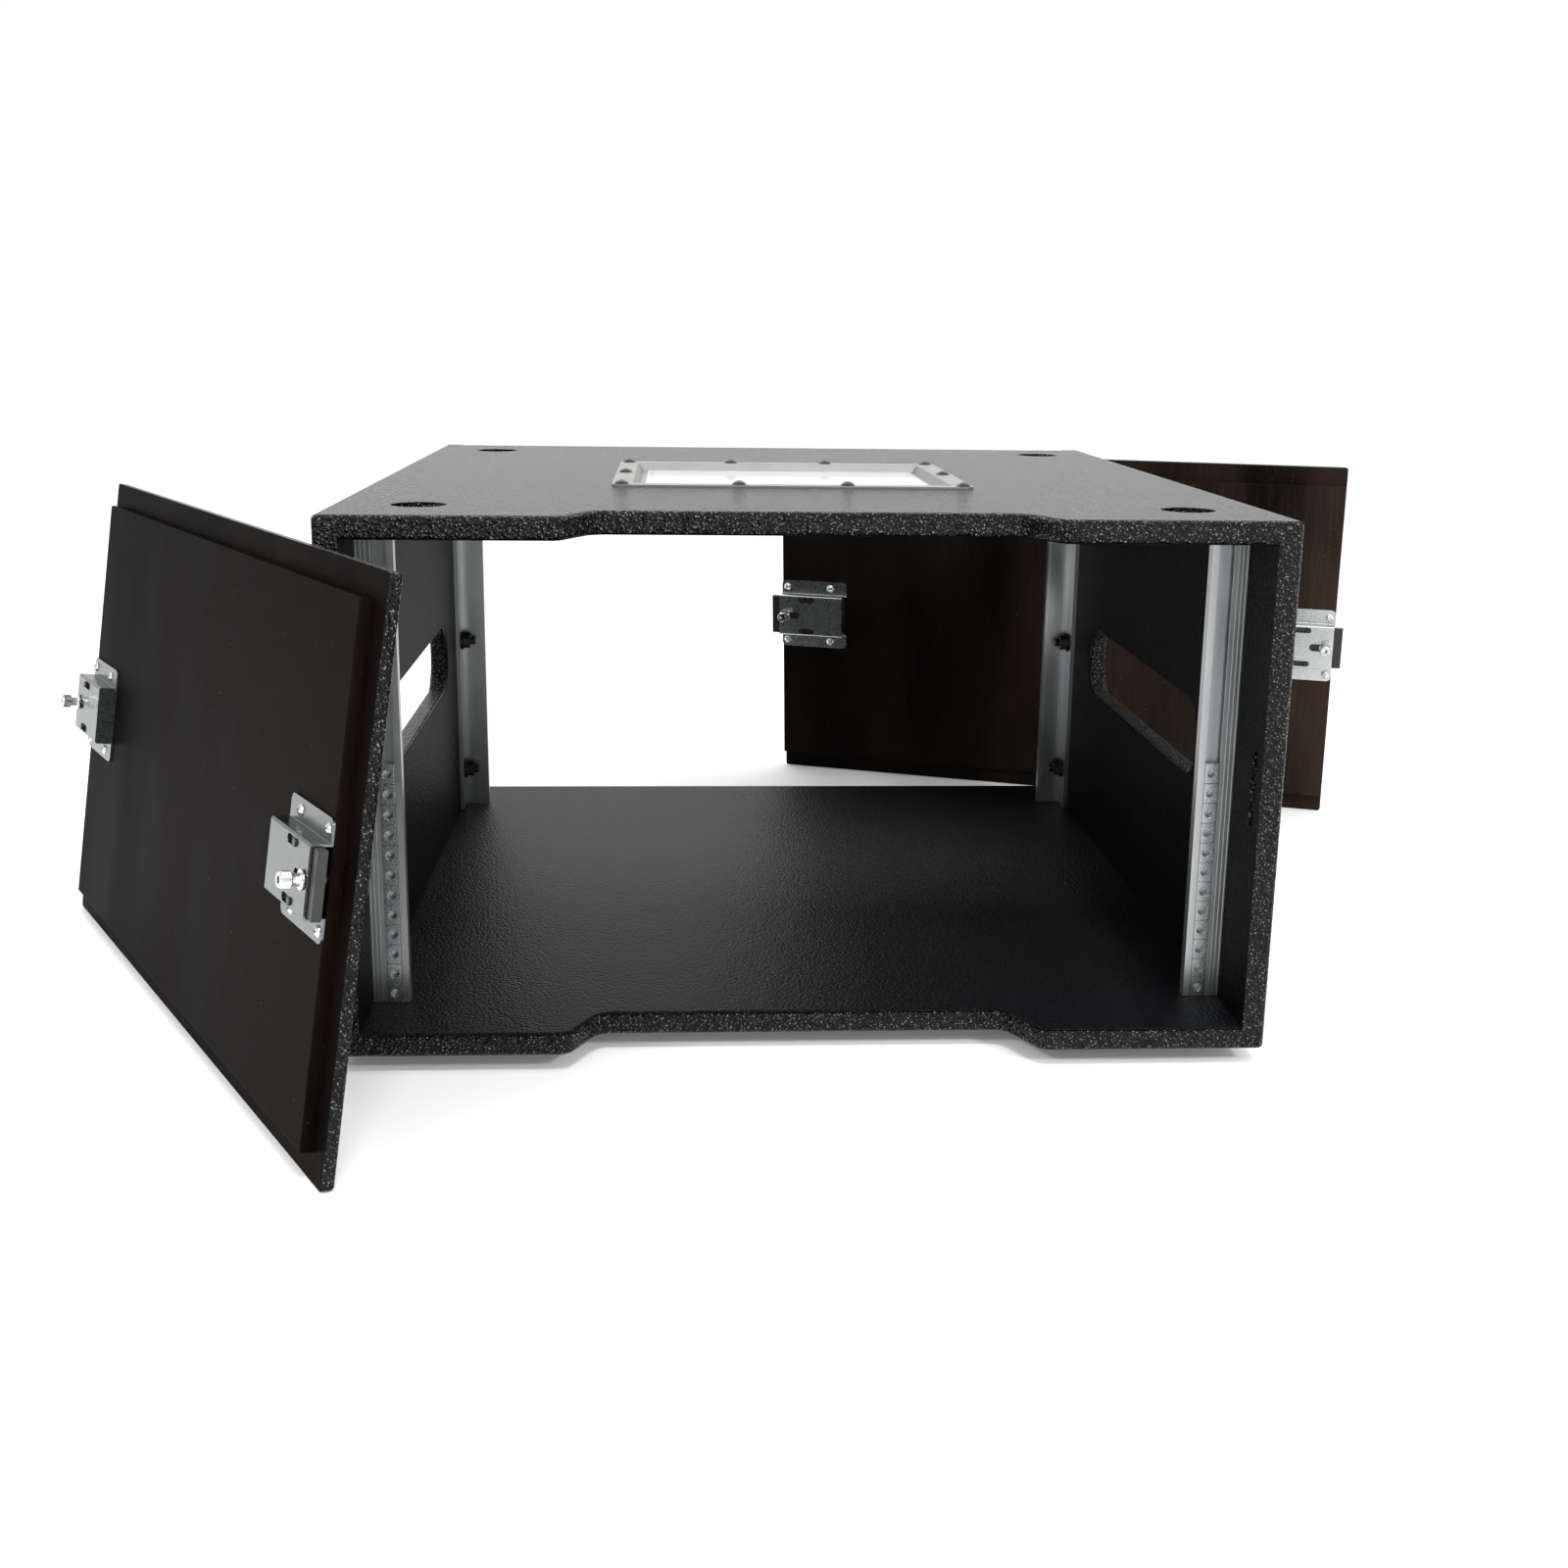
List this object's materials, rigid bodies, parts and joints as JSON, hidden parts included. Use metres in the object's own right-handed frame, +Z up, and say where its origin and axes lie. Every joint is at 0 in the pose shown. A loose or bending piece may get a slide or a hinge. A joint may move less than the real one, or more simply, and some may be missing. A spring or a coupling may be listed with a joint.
{
  "type": "equipment rack case",
  "caption": "Portable 19-inch equipment rack case in black-painted plywood with hand slots, rack rails, slide nuts, stacking feet and two lift-off lids with slide latches.",
  "frame": {"origin": "centre of the underside of the bottom panel, halfway between its front and rear edges", "axes": "+Z up, +X to the right seen from the front opening, +Y to the rear"},
  "size_m": [0.9768, 0.8882, 0.3104],
  "materials": {
    "shell_paint": "black fine-textured paint over plywood",
    "lid_paint": "dark brown-black stained plywood, textured paint on the outer edges",
    "dish_steel": "satin grey zinc-plated sheet",
    "card_white": "matte white, blank",
    "screw_steel": "zinc plated",
    "foot_rubber": "matte black",
    "rail_aluminium": "plain mill finish, fine ridges",
    "black_bolt": "black passivated",
    "nut_steel": "zinc plated",
    "latch_zinc": "bright zinc-plated pressed sheet",
    "bolt_black": "smooth black nylon",
    "cap_steel": "bright zinc",
    "knob_black": "matte black"
  },
  "bodies": {
    "case": {"bottom_panel": "shell_paint", "top_panel": "shell_paint", "left_side_panel": "shell_paint", "right_side_panel": "shell_paint", "label_dish": "dish_steel", "label_card": "card_white", "label_dish_screws": "screw_steel", "front_left_foot": "foot_rubber", "rear_left_foot": "foot_rubber", "front_right_foot": "foot_rubber", "rear_right_foot": "foot_rubber", "front_left_rail": "rail_aluminium", "front_left_rail_bolts": "black_bolt", "front_right_rail": "rail_aluminium", "front_right_rail_bolts": "black_bolt", "rear_left_rail": "rail_aluminium", "rear_left_rail_bolts": "black_bolt", "rear_right_rail": "rail_aluminium", "rear_right_rail_bolts": "black_bolt"},
    "front_lid": {"front_lid_plate": "lid_paint", "front_lid_panel": "lid_paint", "front_lid_left_latch": "latch_zinc", "front_lid_left_latch_screws": "screw_steel", "front_lid_right_latch": "latch_zinc", "front_lid_right_latch_screws": "screw_steel"},
    "front_lid_left_slide_bolt": {"front_lid_left_bolt": "bolt_black", "front_lid_left_cap_screw": "cap_steel", "front_lid_left_knob": "knob_black"},
    "front_lid_right_slide_bolt": {"front_lid_right_bolt": "bolt_black", "front_lid_right_cap_screw": "cap_steel", "front_lid_right_knob": "knob_black"},
    "rear_lid": {"rear_lid_plate": "lid_paint", "rear_lid_panel": "lid_paint", "rear_lid_left_latch": "latch_zinc", "rear_lid_left_latch_screws": "screw_steel", "rear_lid_right_latch": "latch_zinc", "rear_lid_right_latch_screws": "screw_steel"},
    "rear_lid_left_slide_bolt": {"rear_lid_left_bolt": "bolt_black", "rear_lid_left_cap_screw": "cap_steel", "rear_lid_left_knob": "knob_black"},
    "rear_lid_right_slide_bolt": {"rear_lid_right_bolt": "bolt_black", "rear_lid_right_cap_screw": "cap_steel", "rear_lid_right_knob": "knob_black"},
    "front_left_nuts": {"front_left_slide_nuts": "nut_steel"},
    "front_right_nuts": {"front_right_slide_nuts": "nut_steel"},
    "rear_left_nuts": {"rear_left_slide_nuts": "nut_steel"},
    "rear_right_nuts": {"rear_right_slide_nuts": "nut_steel"}
  },
  "joints": [
    {"name": "front_lid_lift_off", "type": "slide", "parent": "case", "child": "front_lid", "axis": [-0.8746, -0.4848, 0], "range_m": [0, 0.15]},
    {"name": "rear_lid_lift_off", "type": "slide", "parent": "case", "child": "rear_lid", "axis": [0, 1, 0], "range_m": [0, 0.15]},
    {"name": "front_lid_left_bolt_slide", "type": "slide", "parent": "front_lid", "child": "front_lid_left_slide_bolt", "axis": [0.4848, -0.8746, 0], "range_m": [0, 0.01]},
    {"name": "front_lid_right_bolt_slide", "type": "slide", "parent": "front_lid", "child": "front_lid_right_slide_bolt", "axis": [-0.4848, 0.8746, 0], "range_m": [0, 0.01]},
    {"name": "rear_lid_left_bolt_slide", "type": "slide", "parent": "rear_lid", "child": "rear_lid_left_slide_bolt", "axis": [0.9323, -0.3616, 0], "range_m": [0, 0.01]},
    {"name": "rear_lid_right_bolt_slide", "type": "slide", "parent": "rear_lid", "child": "rear_lid_right_slide_bolt", "axis": [-0.9323, 0.3616, 0], "range_m": [0, 0.01]},
    {"name": "front_left_nut_slide", "type": "slide", "parent": "case", "child": "front_left_nuts", "axis": [0, 0, 1], "range_m": [0, 0.128]},
    {"name": "front_right_nut_slide", "type": "slide", "parent": "case", "child": "front_right_nuts", "axis": [0, 0, 1], "range_m": [0, 0.128]},
    {"name": "rear_left_nut_slide", "type": "slide", "parent": "case", "child": "rear_left_nuts", "axis": [0, 0, 1], "range_m": [0, 0.128]},
    {"name": "rear_right_nut_slide", "type": "slide", "parent": "case", "child": "rear_right_nuts", "axis": [0, 0, 1], "range_m": [0, 0.128]}
  ]
}
